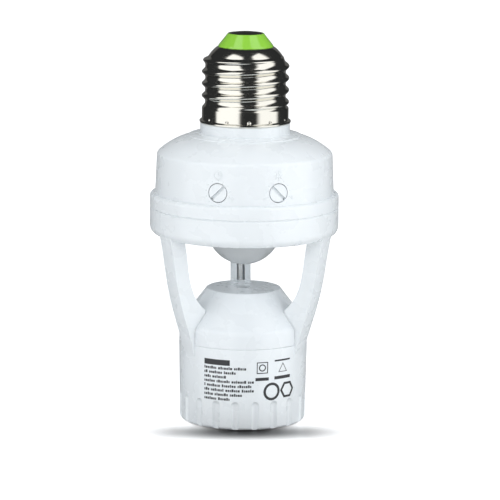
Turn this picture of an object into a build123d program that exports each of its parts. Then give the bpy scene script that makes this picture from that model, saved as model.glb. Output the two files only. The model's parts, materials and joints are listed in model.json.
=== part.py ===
from build123d import *
import math
import os

# Driving dimensions, all in millimetres or degrees
# Running gaps between parts
seat = 0.05

# Heights that stack from the foot up
collar_height = 24.9
cover_height = 15.5
window_height = 16.8
ring_depth = 8.3
flange_upper_depth = 4.2
knob_rise = 3.9
neck_height = 2.3
rim_height = 2.0
skirt_height = 4.3
thread_height = 14.7
shoulder_height = 3.2
insulator_height = 4.0
contact_rise = 0.5

# Thread of the cap
thread_pitch = 25.4 / 7
thread_low = 0.2
thread_spare = 0.8
thread_turns = math.floor(4 * (thread_height - thread_low - thread_spare) / thread_pitch) / 4
thread_start_deg = -104.0
seam_turn_deg = 33.0

# Cap that screws into a lampholder, with sums rounded so that clean sizes stay clean
cap_root_r = 12.15
thread_rise = 1.05
cap_wall = 0.55
cap_crest_r = round(cap_root_r + thread_rise, 6)
cap_skirt_r = round(cap_crest_r - 0.1, 6)
cap_rim_r = round(cap_skirt_r + 0.7, 6)
cap_bore_r = cap_root_r - cap_wall
cap_skirt_bore_r = round(cap_skirt_r - 0.5, 6)
cap_shoulder_r = cap_root_r - 0.75
insulator_r = cap_shoulder_r - 3.0
insulator_neck_r = insulator_r - 3.0
contact_r = insulator_neck_r - 0.3
crimp_count = 12
crimp_r = 1.2
crimp_depth = 0.3

# Socket that takes the bulb, its carrier and the collar round them
socket_root_r = cap_root_r + 0.05
socket_crest_r = socket_root_r + 1.1
socket_outer_r = socket_crest_r + 0.45
insert_bore_r = socket_outer_r + 0.2
insert_boss_r = insert_bore_r + 0.95
insert_r = insert_bore_r + 3.25
mouth_r = insert_bore_r + 0.3
mouth_lip = 3.0
collar_wall = 1.9
sleeve_r = insert_r + 0.4
collar_r = sleeve_r + collar_wall
collar_taper = 0.4
collar_foot_r = collar_r - collar_taper
collar_foot_round = 1.0
collar_top_round = 0.25
flute_count = 20
flute_r = 1.5
flute_depth = 0.5
plain_height = 17.3

# Flange, dome and neck
arm_spread = 9.1
flange_r = collar_r + arm_spread
flange_fillet = 1.0
floor_thickness = 2.0
floor_round = 2.6
groove = 0.35
wall = 1.8
lip_depth = 3.0
dome_wall_foot_r = flange_r - 1.5
dome_wall_top_r = dome_wall_foot_r - 0.55
crown_r = 22.3
crown_run = 15.25
crown_centre_r = dome_wall_top_r - crown_run
corner_rise = math.sqrt(crown_r**2 - crown_run**2)
dome_corner_fillet = 1.4
neck_r = cap_rim_r - 0.25
boss_r = cap_skirt_bore_r - 0.1
neck_bore_r = boss_r - 3.9
step_r = neck_r + 3.4
step_height = 0.25

# Levels, the cap's rounded in the same way
foot_z = 0.0
collar_top_z = foot_z + collar_height
cover_top_z = collar_top_z + cover_height
floor_z = cover_top_z + window_height
parting_z = floor_z + ring_depth
flange_top_z = parting_z + flange_upper_depth
knob_z = flange_top_z + knob_rise
crown_centre_z = parting_z + 0.1
step_low_z = crown_centre_z + corner_rise
neck_base_z = crown_centre_z + crown_r - 0.3
rim_z = round(neck_base_z + neck_height, 6)
skirt_z = round(rim_z + rim_height, 6)
thread_z = round(skirt_z + skirt_height, 6)
shoulder_z = round(thread_z + thread_height, 6)
shell_top_z = shoulder_z + shoulder_height
insulator_top_z = shell_top_z + insulator_height
contact_top_z = insulator_top_z + contact_rise
crimp_z = round(skirt_z + 1.1, 6)

# Adjuster knobs in the front of the dome
knob_azimuth = 19.6
knob_head_r = 2.72
knob_hole_r = knob_head_r + 0.2
knob_face_r = dome_wall_top_r + 0.2
knob_collar_r = knob_hole_r + 0.58
knob_collar_out = dome_wall_top_r - wall - 0.15
knob_collar_in = knob_collar_out - 0.8
knob_stem_r = 1.25
knob_slot_width = 0.85
knob_slot_depth = 0.9
time_slot_deg = 45.0
lux_slot_deg = -45.0
trimmer_width = 6.4
trimmer_depth = 3.6
trimmer_out = knob_collar_in - 4.6
trimmer_in = trimmer_out - trimmer_depth
knob_stem_in = trimmer_out - 1.6
trimmer_socket_r = knob_stem_r + 0.09

# Arms between the ring and the collar
arm_width = 6.1
arm_azimuths = (60.0, 180.0, 300.0)
arm_outer = (
    (flange_r - 0.35, floor_z + 1.2), (flange_r - 1.2, floor_z - 2.8), (flange_r - 2.6, floor_z - 11.4),
    (collar_r + 4.3, cover_top_z - 4.3), (collar_r + 2.4, collar_top_z + 5.1),
    (collar_r + 0.95, collar_top_z + 0.4), (collar_r - 0.1, collar_top_z - 4.4),
)
arm_inner_top_r = flange_r - 5.3
arm_inner_mid = (collar_r + 1.9, floor_z - 11.2)
arm_inner_low = (collar_r + 0.6, cover_top_z + 0.9)
gusset_r = collar_r - 3.7
gusset_z = cover_top_z - 5.1
channel_width = 2.45
channel_depth = 2.5

# Cover over the socket
cover_wall = 1.7
cover_side_r = collar_r - 0.05
cover_top_r = cover_side_r - 8.25
cover_corner_z = collar_top_z + 4.7
cover_corner_fillet = 3.2
cover_top_fillet = 0.7
cover_hole_r = 2.1
cover_tube_r = cover_hole_r + 1.6
cover_tube_z = cover_top_z - 9.2
cover_seat_z = cover_tube_z + 1.6
slot_clearance = 0.15

# Carrier and socket levels
insert_plate_z = collar_top_z + 0.3
insert_top_z = insert_plate_z + 3.2
socket_low_z = mouth_lip + 0.4
socket_high_z = collar_top_z - 1.3
rivet_x = 8.0
rivet_r = 1.0

# Circuit board
board_r = flange_r - 4.4
board_z = parting_z + 1.1
board_thickness = 1.6
pillar_r = 2.3
pillar_pitch_r = board_r - 3.4
pillar_azimuths = (0.0, 120.0, 240.0)
pillar_hole_r = 0.95
screw_shank_r = 0.9
screw_head_r = 1.9

# Parts on the board
relay_length = 18.4
relay_width = 15.2
relay_height = crown_r - 8.3
relay_x = -3.2
relay_y = 4.0
dropper_length = 17.0
dropper_width = 6.4
dropper_height = relay_height - 2.0
can_r = 4.9
can_y = 2.6
can_height = relay_height - 2.0
chip_length = 17.6
chip_width = 6.2
chip_height = 3.3
chip_legs = 7
chip_leg_pitch = 2.3
rectifier_length = 6.4
rectifier_width = 8.0
rectifier_height = 3.2
fuse_r = 1.55
fuse_length = 8.0
lead_r = 0.3

# Lens, sensor and light cell
lens_r = 11.4
lens_wall = 0.8
lens_centre_z = floor_z + 1.8
lens_hole_r = lens_r + 0.25
lens_flange_r = lens_r + 2.2
retainer_r = lens_flange_r + 1.6
sensor_can_r = 4.55
sensor_flange_r = sensor_can_r + 0.4
sensor_height = 3.9
sensor_top_z = board_z - 2.1
sensor_low_z = sensor_top_z - sensor_height
photocell_r = 2.1
photocell_height = 2.0
photocell_x = sensor_flange_r + photocell_r + 0.55

# Wires
wire_r = 0.75
cap_wire_r = 0.6

os.makedirs("parts", exist_ok=True)

# Helpers

def lathe(points):
    """Solid turned about the upright axis from points given as radius and height."""
    line = Polyline(*points, close=True)
    return revolve(Plane.XZ * make_face(line), axis=Axis.Z)


def rod(radius, low, high):
    """Upright round rod on the axis."""
    return Pos(0, 0, low) * extrude(Circle(radius), high - low)


def tube(outer, inner, low, high):
    """Upright round tube on the axis."""
    return rod(outer, low, high) - rod(inner, low - 1.0, high + 1.0)


def spin(azimuth):
    """Turn from the front by an azimuth, plus towards the right seen from the front."""
    return Rot(0, 0, azimuth)


def block(width, depth, height, x=0.0, y=0.0, low=0.0):
    """Box by width, depth and height, centred in plan with its underside at low."""
    return Pos(x, y, low + height / 2) * Box(width, depth, height)


def radial_rod(radius, near, far, azimuth, height):
    """Round rod lying along a radius, from near to far."""
    bar = Pos(0, -near, height) * Rot(90, 0, 0) * extrude(Circle(radius), far - near)
    return spin(azimuth) * bar


def soften(shape, picks):
    """Round circular edges picked by radius and height, one after another."""
    for radius, height, size in picks:
        edges = [
            e
            for e in shape.edges()
            if abs(e.center(CenterOf.BOUNDING_BOX).Z - height) < 0.02
            and abs(e.bounding_box().size.X / 2 - radius) < 0.02
            and e.bounding_box().size.Z < 0.02
        ]
        shape = fillet(edges, size)
    return shape


def cable(points, radius=wire_r):
    """Round wire swept through points."""
    path = Spline(*points)
    start = Plane(origin=path @ 0, z_dir=path % 0)
    return sweep(start * Circle(radius), path=path)


def helical_ridge(root, crest, sink, low, turns, start_deg, width):
    """Rounded ridge wound round the axis as a right-hand thread."""
    helix = Edge.make_helix(thread_pitch, thread_pitch * turns, root)
    bow = ThreePointArc((root - sink, 0, -width / 2), (crest, 0, 0), (root - sink, 0, width / 2))
    base = Line((root - sink, 0, width / 2), (root - sink, 0, -width / 2))
    ridge = sweep(make_face(bow + base), path=helix, is_frenet=True)
    return Pos(0, 0, low) * Rot(0, 0, start_deg) * ridge


def crown(inset, low):
    """Body of the dome, turned from the crown arc and the tapered side wall."""
    arc_r = crown_r - inset
    corner_r = dome_wall_top_r - inset
    corner_z = crown_centre_z + math.sqrt(arc_r ** 2 - (corner_r - crown_centre_r) ** 2)
    top = Vector(crown_centre_r, crown_centre_z + arc_r)
    mid_deg = 60.0
    mid = Vector(
        crown_centre_r + arc_r * math.cos(math.radians(mid_deg)),
        crown_centre_z + arc_r * math.sin(math.radians(mid_deg)),
    )
    corner = Vector(corner_r, corner_z)
    outline = ThreePointArc(top, mid, corner) + Polyline(
        corner, (dome_wall_foot_r - inset, low), (0, low), (0, top.Y), top
    )
    profile = make_face(outline)
    pick = profile.vertices().sort_by_distance((corner_r, corner_z, 0))[0]
    profile = fillet(pick, max(dome_corner_fillet - inset * 0.5, 0.4))
    return revolve(Plane.XZ * profile, axis=Axis.Z)


# Cap shell with its rolled thread
envelope = lathe(
    [
        (0, rim_z), (cap_rim_r, rim_z), (cap_rim_r, skirt_z - 0.3), (cap_crest_r, skirt_z),
        (cap_crest_r, shoulder_z - 0.5), (cap_shoulder_r + 0.35, shoulder_z + 0.9),
        (insulator_r + 0.6, shell_top_z), (0, shell_top_z),
    ]
)
shell_line = Polyline(
    (0, rim_z), (cap_rim_r, rim_z), (cap_rim_r, skirt_z - 0.5), (cap_skirt_r, skirt_z),
    (cap_skirt_r, thread_z - 0.5), (cap_root_r, thread_z + 0.3), (cap_root_r, shoulder_z - 0.9),
) + ThreePointArc(
    (cap_root_r, shoulder_z - 0.9),
    (cap_shoulder_r - 0.25, shoulder_z + 1.5),
    (insulator_r, shell_top_z),
) + Polyline((insulator_r, shell_top_z), (0, shell_top_z), (0, rim_z))
shell_core = Rot(0, 0, seam_turn_deg) * revolve(Plane.XZ * make_face(shell_line), axis=Axis.Z)
ridge_low_z = thread_z + thread_low
ridge = helical_ridge(cap_root_r - 0.05, cap_crest_r, 0.25, ridge_low_z, thread_turns, thread_start_deg, 2.9)
cap_shell = (shell_core + ridge) & envelope
shell_bore = lathe(
    [
        (0, rim_z - 1), (cap_rim_r - 0.6, rim_z - 1), (cap_rim_r - 0.6, rim_z), (cap_skirt_bore_r, skirt_z),
        (cap_skirt_bore_r, thread_z - 0.7), (cap_bore_r, thread_z), (cap_bore_r, shoulder_z - 0.5),
        (insulator_r - 0.9, shell_top_z - 1.0), (insulator_r - 0.9, shell_top_z + 1), (0, shell_top_z + 1),
    ]
)
cap_shell = cap_shell - shell_bore
crimps = []
for index in range(crimp_count):
    offset = cap_skirt_r + crimp_r - crimp_depth
    crimps.append(spin(index * 360 / crimp_count + 2.8) * (Pos(0, -offset, crimp_z) * Sphere(crimp_r)))
cap_shell = cap_shell - crimps

# Glassy insulator under the centre contact
cap_insulator = lathe(
    [
        (1.6, shell_top_z - 2.6), (insulator_r - 1.6, shell_top_z - 2.6),
        (insulator_r - 1.0, shell_top_z - 1.6),
        (insulator_r - 1.0, shell_top_z + seat), (insulator_r, shell_top_z + seat),
        (insulator_r - 0.25, shell_top_z + 0.55), (insulator_neck_r + 0.15, insulator_top_z - 0.15),
        (insulator_neck_r, insulator_top_z), (contact_r + seat, insulator_top_z),
        (contact_r + seat, insulator_top_z - 0.6), (1.6, insulator_top_z - 0.6),
    ]
)

# Centre contact of the cap
contact_bow_r = (contact_r ** 2 + contact_rise ** 2) / (2 * contact_rise)
cap_contact = rod(contact_r, insulator_top_z - 0.5, contact_top_z + 1)
cap_contact = cap_contact & (Pos(0, 0, contact_top_z - contact_bow_r) * Sphere(contact_bow_r))
cap_contact = cap_contact + rod(1.3, shell_top_z - 3.2, insulator_top_z)
cap_contact = cap_contact - rod(0.8, shell_top_z - 4.0, shell_top_z - 1.0)

# Upper housing: neck, dome, side wall and the upper half of the flange
upper = crown(0.0, flange_top_z - 1.0)
upper = upper + (crown(-step_height, flange_top_z - 1.0) & rod(step_r, step_low_z, rim_z))
upper = upper + rod(neck_r, neck_base_z - 4.0, rim_z - seat)
upper = upper + rod(boss_r, rim_z - 1.0, thread_z - 1.0)
flange = lathe(
    [
        (0, parting_z), (flange_r - groove, parting_z), (flange_r, parting_z + groove),
        (flange_r, flange_top_z), (0, flange_top_z),
    ]
)
flange = soften(flange, [(flange_r, flange_top_z, flange_fillet)])
upper = upper + flange
hollow = crown(wall, parting_z - 1.0)
upper = upper - hollow - rod(neck_bore_r, neck_base_z - 6.0, thread_z)
lip_in_r = dome_wall_foot_r - wall - 0.1
lip = tube(lip_in_r + 1.3, lip_in_r, parting_z - lip_depth, parting_z + 2.0)
upper = upper + lip
for azimuth in (-knob_azimuth, knob_azimuth):
    upper = upper - radial_rod(knob_hole_r, 20.0, flange_r + 4, azimuth, knob_z)
upper_housing = upper

# Adjuster knobs, each a slotted head with a shouldered stem


def knob(azimuth, slot_deg):
    """Adjuster with a screwdriver slot across its face."""
    body = radial_rod(knob_head_r, knob_collar_in, knob_face_r, azimuth, knob_z)
    body = body + radial_rod(knob_collar_r, knob_collar_in, knob_collar_out, azimuth, knob_z)
    body = body + radial_rod(knob_stem_r, knob_stem_in, knob_collar_in + 0.2, azimuth, knob_z)
    cutter = Rot(0, slot_deg, 0) * Box(2 * knob_head_r + 2, 2 * knob_slot_depth, knob_slot_width)
    flat = spin(azimuth) * (Pos(0, -knob_face_r, knob_z) * cutter)
    return body - flat


time_knob = knob(-knob_azimuth, -time_slot_deg)
lux_knob = knob(knob_azimuth, -lux_slot_deg)


def trimmer(azimuth):
    """Side-adjust trimmer standing on the board with a socket for the knob's stem."""
    low = board_z + board_thickness + seat
    high = knob_z + 3.6
    depth = trimmer_out - trimmer_in
    body = block(trimmer_width, depth, high - low, 0, -(trimmer_out + trimmer_in) / 2, low)
    body = chamfer(body.edges().filter_by(Axis.Y).group_by(Axis.Z)[-1], 1.2)
    drum = Pos(0, -trimmer_out + 0.2, knob_z) * Rot(90, 0, 0) * extrude(Circle(2.6), 0.9)
    bore = Pos(0, -trimmer_in - 1.2, knob_z) * Rot(90, 0, 0) * extrude(Circle(trimmer_socket_r), 6)
    return spin(azimuth) * (body + drum - bore)


time_trimmer = trimmer(-knob_azimuth)
lux_trimmer = trimmer(knob_azimuth)

# Circuit board and parts on it
board_top = board_z + board_thickness
circuit_board = rod(board_r, board_z, board_top)
for azimuth in arm_azimuths:
    circuit_board = circuit_board - spin(azimuth) * block(4.2, 6.0, 4.0, 0, -board_r, board_z - 1)
for azimuth in pillar_azimuths:
    screw_hole = Pos(0, -pillar_pitch_r, 0) * rod(1.1, board_z - 1, board_top + 1)
    circuit_board = circuit_board - spin(azimuth) * screw_hole

relay_low_y = relay_y - relay_width / 2
relay_left_x = relay_x - relay_length / 2
relay = block(relay_length, relay_width, relay_height, relay_x, relay_y, board_top + 0.3)
relay = fillet(relay.edges().filter_by(Axis.Z), 0.8)
relay = chamfer(relay.faces().sort_by(Axis.Z)[-1].edges(), 0.5)
for side_x in (-1, 1):
    for side_y in (-1, 1):
        pin_x = relay_x + side_x * (relay_length / 2 - 3.2)
        pin_y = relay_y + side_y * (relay_width / 2 - 2.6)
        relay = relay + block(0.8, 0.8, 0.4, pin_x, pin_y, board_top + seat)

dropper_y = board_r - 4.0 - dropper_width / 2
dropper_capacitor = block(dropper_length, dropper_width, dropper_height, 0, dropper_y, board_top + seat)
dropper_capacitor = fillet(dropper_capacitor.edges().filter_by(Axis.Z), 1.2)
dropper_capacitor = fillet(dropper_capacitor.faces().sort_by(Axis.Z)[-1].edges(), 0.8)

can_x = board_r - 5.7 - can_r
smoothing_capacitor = Pos(can_x, can_y, 0) * rod(can_r, board_top + seat, board_top + can_height)
smoothing_capacitor = fillet(smoothing_capacitor.edges().group_by(Axis.Z)[-1], 0.7)
smoothing_capacitor = smoothing_capacitor - Pos(can_x, can_y, 0) * (
    tube(can_r + 1.1, can_r - 0.4, board_top + 1.6, board_top + 2.3)
)

chip_y = relay_low_y - 1.7 - chip_width / 2
control_chip = block(chip_length, chip_width, chip_height, 0, chip_y, board_top + 0.6)
notch = Pos(-chip_length / 2, chip_y, board_top + 0.6 + chip_height) * Sphere(1.0)
control_chip = control_chip - notch
for index in range(chip_legs):
    for side in (-1, 1):
        leg_x = (index - (chip_legs - 1) / 2) * chip_leg_pitch
        leg_y = chip_y + side * (chip_width / 2 + 0.3)
        control_chip = control_chip + block(0.6, 0.9, 2.0, leg_x, leg_y, board_top + seat)

rectifier_x = relay_left_x - 1.8 - rectifier_length / 2
rectifier = block(rectifier_length, rectifier_width, rectifier_height, rectifier_x, -3.0, board_top + seat)
rectifier = chamfer(rectifier.faces().sort_by(Axis.Z)[-1].edges(), 0.5)

fuse_x = board_r - 7.05 - fuse_r
fuse_y = -8.2
fuse_z = board_top + fuse_r + 0.65
fuse_body = Rot(90, 0, 0) * extrude(Circle(fuse_r), fuse_length / 2, both=True)
fuse_body = fillet(fuse_body.edges().filter_by(GeomType.CIRCLE), 0.5)
fuse_resistor = Pos(fuse_x, fuse_y, fuse_z) * (fuse_body)
for side in (-1, 1):
    lead = cable(
        [
            (fuse_x, fuse_y + side * (fuse_length / 2 - 0.2), fuse_z),
            (fuse_x, fuse_y + side * (fuse_length / 2 + 0.9), fuse_z - 0.3),
            (fuse_x, fuse_y + side * (fuse_length / 2 + 1.3), board_top + seat),
        ],
        lead_r,
    )
    fuse_resistor = fuse_resistor + lead

# Sensor behind the lens, its spacer and the light cell
sensor_spacer = tube(sensor_flange_r + 0.45, 3.4, sensor_top_z + 0.1, board_z - seat)
pir_sensor = rod(sensor_can_r, sensor_low_z, sensor_top_z - 0.5)
pir_sensor = pir_sensor + rod(sensor_flange_r, sensor_top_z - 0.8, sensor_top_z)
pir_sensor = fillet(pir_sensor.edges().group_by(Axis.Z)[0], 0.5)
pir_sensor = pir_sensor - block(3.2, 4.2, 0.3, 0, 0, sensor_low_z)
for azimuth in (30.0, 150.0, 270.0):
    pin = Pos(0, -2.54, 0) * rod(0.25, sensor_top_z - 0.2, board_z - seat)
    pir_sensor = pir_sensor + spin(azimuth) * pin
photocell_top_z = sensor_top_z - 0.1
photocell = Pos(photocell_x, 0, 0) * rod(photocell_r, photocell_top_z - photocell_height, photocell_top_z)
for side in (-1, 1):
    photocell = photocell + Pos(photocell_x, side * 1.0, 0) * rod(0.25, photocell_top_z - 0.1, board_z - seat)

# Lens
dome_out = Pos(0, 0, lens_centre_z) * Sphere(lens_r)
dome_in = Pos(0, 0, lens_centre_z) * Sphere(lens_r - lens_wall)
below = block(4 * lens_r, 4 * lens_r, 2 * lens_r, 0, 0, lens_centre_z - 2 * lens_r)
lens = (dome_out & below) + rod(lens_r, lens_centre_z - 0.01, floor_z + floor_thickness + 0.3)
lens = lens - (dome_in & below) - rod(lens_r - lens_wall, lens_centre_z - 0.01, parting_z)
lens_floor = floor_z + floor_thickness + seat
lens_dome = lens + tube(lens_flange_r, lens_r - lens_wall, lens_floor, lens_floor + 0.9)

# Ring that holds the lens down
ring_low = lens_floor + 0.9 + seat
lens_retainer = tube(retainer_r, lens_r - lens_wall + 0.2, ring_low, ring_low + 1.6)
lens_retainer = lens_retainer + tube(retainer_r, lens_flange_r + 0.15, lens_floor, ring_low + 0.4)
for azimuth in (30.0, 150.0, 270.0):
    lens_retainer = lens_retainer - spin(azimuth) * block(3.0, 3.0, 6.0, 0, -(retainer_r + 0.2), floor_z)

# Lower frame in one moulding
ring_in_r = flange_r - 1.7
lower_ring = lathe(
    [
        (0, floor_z), (flange_r, floor_z), (flange_r, parting_z - groove), (flange_r - groove, parting_z),
        (0, parting_z),
    ]
)
lower_ring = soften(lower_ring, [(flange_r, floor_z, floor_round)])
cavity = rod(ring_in_r, floor_z + floor_thickness, parting_z + 1)
cavity = fillet(cavity.edges().group_by(Axis.Z)[0], 1.2)
lower_ring = lower_ring - cavity - rod(lens_hole_r, floor_z - 1, parting_z)
arm_curve = Spline(*arm_outer)
inner_curve = Spline(
    (arm_inner_top_r, floor_z + 0.5), arm_inner_mid, arm_inner_low,
    (gusset_r + 2.1, gusset_z + 2.1), (gusset_r, gusset_z),
)
closing = Polyline(
    (gusset_r, gusset_z), (gusset_r, collar_top_z + 0.25), (sleeve_r + 0.05, collar_top_z + 0.25),
    (sleeve_r + 0.05, arm_outer[-1][1]), arm_outer[-1],
)
top_line = Line(arm_outer[0], (arm_inner_top_r, floor_z + 0.5))
arm_face = make_face(arm_curve + top_line + inner_curve + closing)
arm_ring = revolve(Plane.XZ * arm_face, axis=Axis.Z)
channel_curve = Polyline(
    (arm_inner_top_r + channel_depth, floor_z + 6), (arm_inner_top_r + channel_depth, floor_z),
    (arm_inner_mid[0] + channel_depth, arm_inner_mid[1]),
    (arm_inner_low[0] + channel_depth, arm_inner_low[1] - 1.5),
    (gusset_r + channel_depth, gusset_z - 3.0), (gusset_r + channel_depth - 0.6, collar_top_z + 1.2),
    (gusset_r - 4, collar_top_z + 1.2), (gusset_r - 4, floor_z - 8.0),
    (arm_inner_mid[0] - 1.2, floor_z - 0.4), (arm_inner_top_r - 0.2, floor_z + 0.9),
    (arm_inner_top_r - 0.2, floor_z + 6), close=True,
)
channel_ring = revolve(Plane.XZ * make_face(channel_curve), axis=Axis.Z)
collar = lathe(
    [
        (mouth_r, foot_z), (collar_foot_r, foot_z), (collar_r, collar_top_z - 2.0),
        (collar_r, collar_top_z), (sleeve_r, collar_top_z), (sleeve_r, mouth_lip), (mouth_r, mouth_lip),
    ]
)
collar_edges = [(collar_r, collar_top_z, collar_top_round), (collar_foot_r, foot_z, collar_foot_round)]
collar = soften(collar, collar_edges)
mouth_edges = [
    e for e in collar.edges()
    if abs(e.bounding_box().size.X / 2 - mouth_r) < 0.02 and abs(e.center(CenterOf.BOUNDING_BOX).Z) < 0.02
]
collar = chamfer(mouth_edges, 0.6)
flutes = []
flute_height = collar_height - plain_height
flute_centre_r = collar_foot_r + flute_r - flute_depth
for index in range(flute_count):
    azimuth = (index + 0.5) * 360 / flute_count
    flute = Pos(0, -flute_centre_r, -1.0) * extrude(Circle(flute_r), flute_height + 1.0)
    cap = Pos(0, -flute_centre_r, flute_height) * Sphere(flute_r)
    flutes.append(spin(azimuth) * (flute + cap))
collar = collar - flutes
arm_frame = lower_ring + collar
reach = flange_r + 10
for azimuth in arm_azimuths:
    slab = spin(azimuth) * block(arm_width, reach, parting_z, 0, -reach / 2, collar_top_z / 2)
    arm_frame = arm_frame + (arm_ring & slab)
for azimuth in arm_azimuths:
    slab = spin(azimuth) * block(channel_width, reach, parting_z, 0, -reach / 2, collar_top_z / 2)
    arm_frame = arm_frame - (channel_ring & slab)
for azimuth in pillar_azimuths:
    post = Pos(0, -pillar_pitch_r, 0) * rod(pillar_r, floor_z + 1.0, board_z - seat)
    arm_frame = arm_frame + spin(azimuth) * post
    screw_hole = Pos(0, -pillar_pitch_r, 0) * rod(pillar_hole_r, board_z - 5.5, board_z + 1)
    arm_frame = arm_frame - spin(azimuth) * screw_hole

# Screws through the board, all alike
board_screws = None
for azimuth in pillar_azimuths:
    head = rod(screw_head_r, board_top + seat, board_top + 1.3)
    head = fillet(head.edges().group_by(Axis.Z)[-1], 0.6)
    screw = head + rod(screw_shank_r, board_z - 5.0, board_top + 0.6)
    screw = screw - block(2.2, 0.5, 1.0, 0, 0, board_top + 0.8) - block(0.5, 2.2, 1.0, 0, 0, board_top + 0.8)
    screw = spin(azimuth) * (Pos(0, -pillar_pitch_r, 0) * screw)
    board_screws = screw if board_screws is None else board_screws + screw

# Cover over the back of the socket
def cover_shape(inset, low):
    """Cone and straight side of the cover, set in from the outside by a wall."""
    run = cover_side_r - cover_top_r
    drop = cover_top_z - cover_corner_z
    length = math.hypot(run, drop)
    top = cover_top_z - inset
    shift = inset * length / drop
    top_r = cover_top_r - shift + inset * run / drop
    side_r = cover_side_r - inset
    corner_z = cover_top_z - (side_r - cover_top_r + shift) * drop / run
    corners = [(0, top), (top_r, top), (side_r, corner_z), (side_r, low), (0, low)]
    profile = make_face(Polyline(*corners, close=True))
    for r, z, size in ((top_r, top, cover_top_fillet), (side_r, corner_z, cover_corner_fillet - inset * 0.5)):
        pick = profile.vertices().sort_by_distance((r, z, 0))[0]
        profile = fillet(pick, size)
    return revolve(Plane.XZ * profile, axis=Axis.Z)


socket_cover = cover_shape(0.0, collar_top_z + seat) - cover_shape(cover_wall, collar_top_z - 2.0)
socket_cover = socket_cover + rod(cover_tube_r, cover_tube_z, cover_top_z - 0.5)
socket_cover = socket_cover - rod(cover_hole_r, cover_seat_z, cover_top_z + 1)
socket_cover = socket_cover - rod(1.4, cover_tube_z - 1, cover_top_z)
for azimuth in arm_azimuths:
    slot = block(arm_width + 2 * slot_clearance, 12, 40, 0, -(gusset_r - 0.5 + 6), gusset_z + 0.5 - 40)
    pass_through = block(channel_width + 0.6, 12, 40, 0, -(gusset_r - 3.4 + 6), gusset_z - 1.0 - 40)
    socket_cover = socket_cover - spin(azimuth) * slot - spin(azimuth) * pass_through

# Screw down the cover's middle
cover_screw = rod(1.9, cover_seat_z + seat, cover_seat_z + 1.5)
cover_screw = fillet(cover_screw.edges().group_by(Axis.Z)[-1], 0.5)
cover_screw = cover_screw + rod(1.2, insert_top_z - 2.6, cover_seat_z + 0.5)
cover_screw = cover_screw - block(2.4, 0.6, 1.0, 0, 0, cover_seat_z + 1.0)
cover_screw = cover_screw - block(0.6, 2.4, 1.0, 0, 0, cover_seat_z + 1.0)

# Insulating body that carries the socket
socket_insert = tube(insert_r, insert_bore_r, mouth_lip + seat, collar_top_z - 0.6)
socket_insert = socket_insert + tube(insert_boss_r, insert_bore_r, mouth_lip + 4, insert_plate_z + 0.5)
socket_insert = socket_insert + rod(insert_boss_r, insert_plate_z, insert_top_z)
socket_insert = socket_insert + rod(3.4, insert_top_z - 0.5, cover_tube_z - seat)
socket_insert = socket_insert - rod(1.26, insert_plate_z + 0.6, cover_tube_z + 1)
for x in (-rivet_x, rivet_x):
    socket_insert = socket_insert - Pos(x, 0, 0) * rod(rivet_r + 0.1, insert_plate_z - 1, insert_top_z + 1)

# Threaded shell that takes the bulb's cap
socket_line = [(socket_root_r, socket_low_z), (socket_outer_r, socket_low_z), (socket_outer_r, socket_high_z),
               (socket_root_r, socket_high_z)]
socket_shell = lathe(socket_line)
rows = int((socket_high_z - socket_low_z - 2.0) / thread_pitch) + 1
for index in range(rows):
    level = socket_low_z + 1.9 + index * thread_pitch
    bow = ThreePointArc(
        (socket_root_r - 0.2, level - 1.45), (socket_crest_r, level), (socket_root_r - 0.2, level + 1.45)
    ) + Line((socket_root_r - 0.2, level + 1.45), (socket_root_r - 0.2, level - 1.45))
    socket_shell = socket_shell - revolve(Plane.XZ * make_face(bow), axis=Axis.Z)

# Springy tongue that meets the bulb's end contact
tongue_low = insert_plate_z - 0.05 - 0.4
socket_contact = block(4.0, 4.4, 0.4, -rivet_x, 0, tongue_low)
tongue_path = Spline(
    (1.6 - rivet_x, 0, tongue_low + 0.2), (-rivet_x / 2, 0, tongue_low - 0.5), (0.0, 0, tongue_low - 2.3),
    (2.6, 0, tongue_low - 2.0),
)
tongue_section = Plane(origin=tongue_path @ 0, z_dir=tongue_path % 0) * Rectangle(0.4, 4.4)
tongue_turned = sweep(tongue_section, path=tongue_path)
socket_contact = socket_contact + tongue_turned

# Rivets that carry the current through the insert
rivet_head = rod(rivet_r + 0.9, insert_top_z + seat, insert_top_z + 0.7)
live_rivet = Pos(-rivet_x, 0, 0) * (rod(rivet_r, tongue_low + 0.45, insert_top_z + 0.1) + rivet_head)
neutral_rivet = Pos(rivet_x, 0, 0) * (rod(rivet_r, insert_plate_z - 0.6, insert_top_z + 0.1) + rivet_head)
strap_out = socket_root_r + 0.5
strap_in = rivet_x - 0.7
shell_strap = block(strap_out - strap_in, 3.2, 0.4, (strap_out + strap_in) / 2, 0, insert_plate_z - 1.05)
strap_drop = insert_plate_z - 0.7 - socket_high_z
shell_strap = shell_strap + block(0.4, 3.2, strap_drop, strap_out - 0.2, 0, socket_high_z + seat)

# Wires
plate_top = insert_top_z + 0.75


def arm_wire(azimuth, target_x):
    """Insulated wire down an arm channel to its rivet."""
    turn = math.radians(azimuth)

    def place(radius, height):
        return (radius * math.sin(turn), -radius * math.cos(turn), height)

    inner_r = gusset_r - 3.6
    near = 0.4 * inner_r
    points = [
        place(pillar_pitch_r + 1.8, board_top + 0.45),
        place(arm_inner_top_r + 0.16 * channel_depth, parting_z - 2.5),
        place(arm_inner_top_r + 0.4 * channel_depth, floor_z + 1.2),
        place(arm_inner_mid[0] + 0.56 * channel_depth, arm_inner_mid[1]),
        place(arm_inner_low[0] + 0.36 * channel_depth, arm_inner_low[1] - 2.5),
        place(gusset_r + 1.1, gusset_z - 1.9),
        place(gusset_r - 1.1, gusset_z - 4.0),
        place(inner_r, insert_top_z + 2.1),
        (target_x * 0.6 + near * math.sin(turn), -near * math.cos(turn), insert_top_z + 1.9),
        (target_x, 0, plate_top + wire_r + seat + 0.1),
    ]
    return cable(points)


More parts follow.
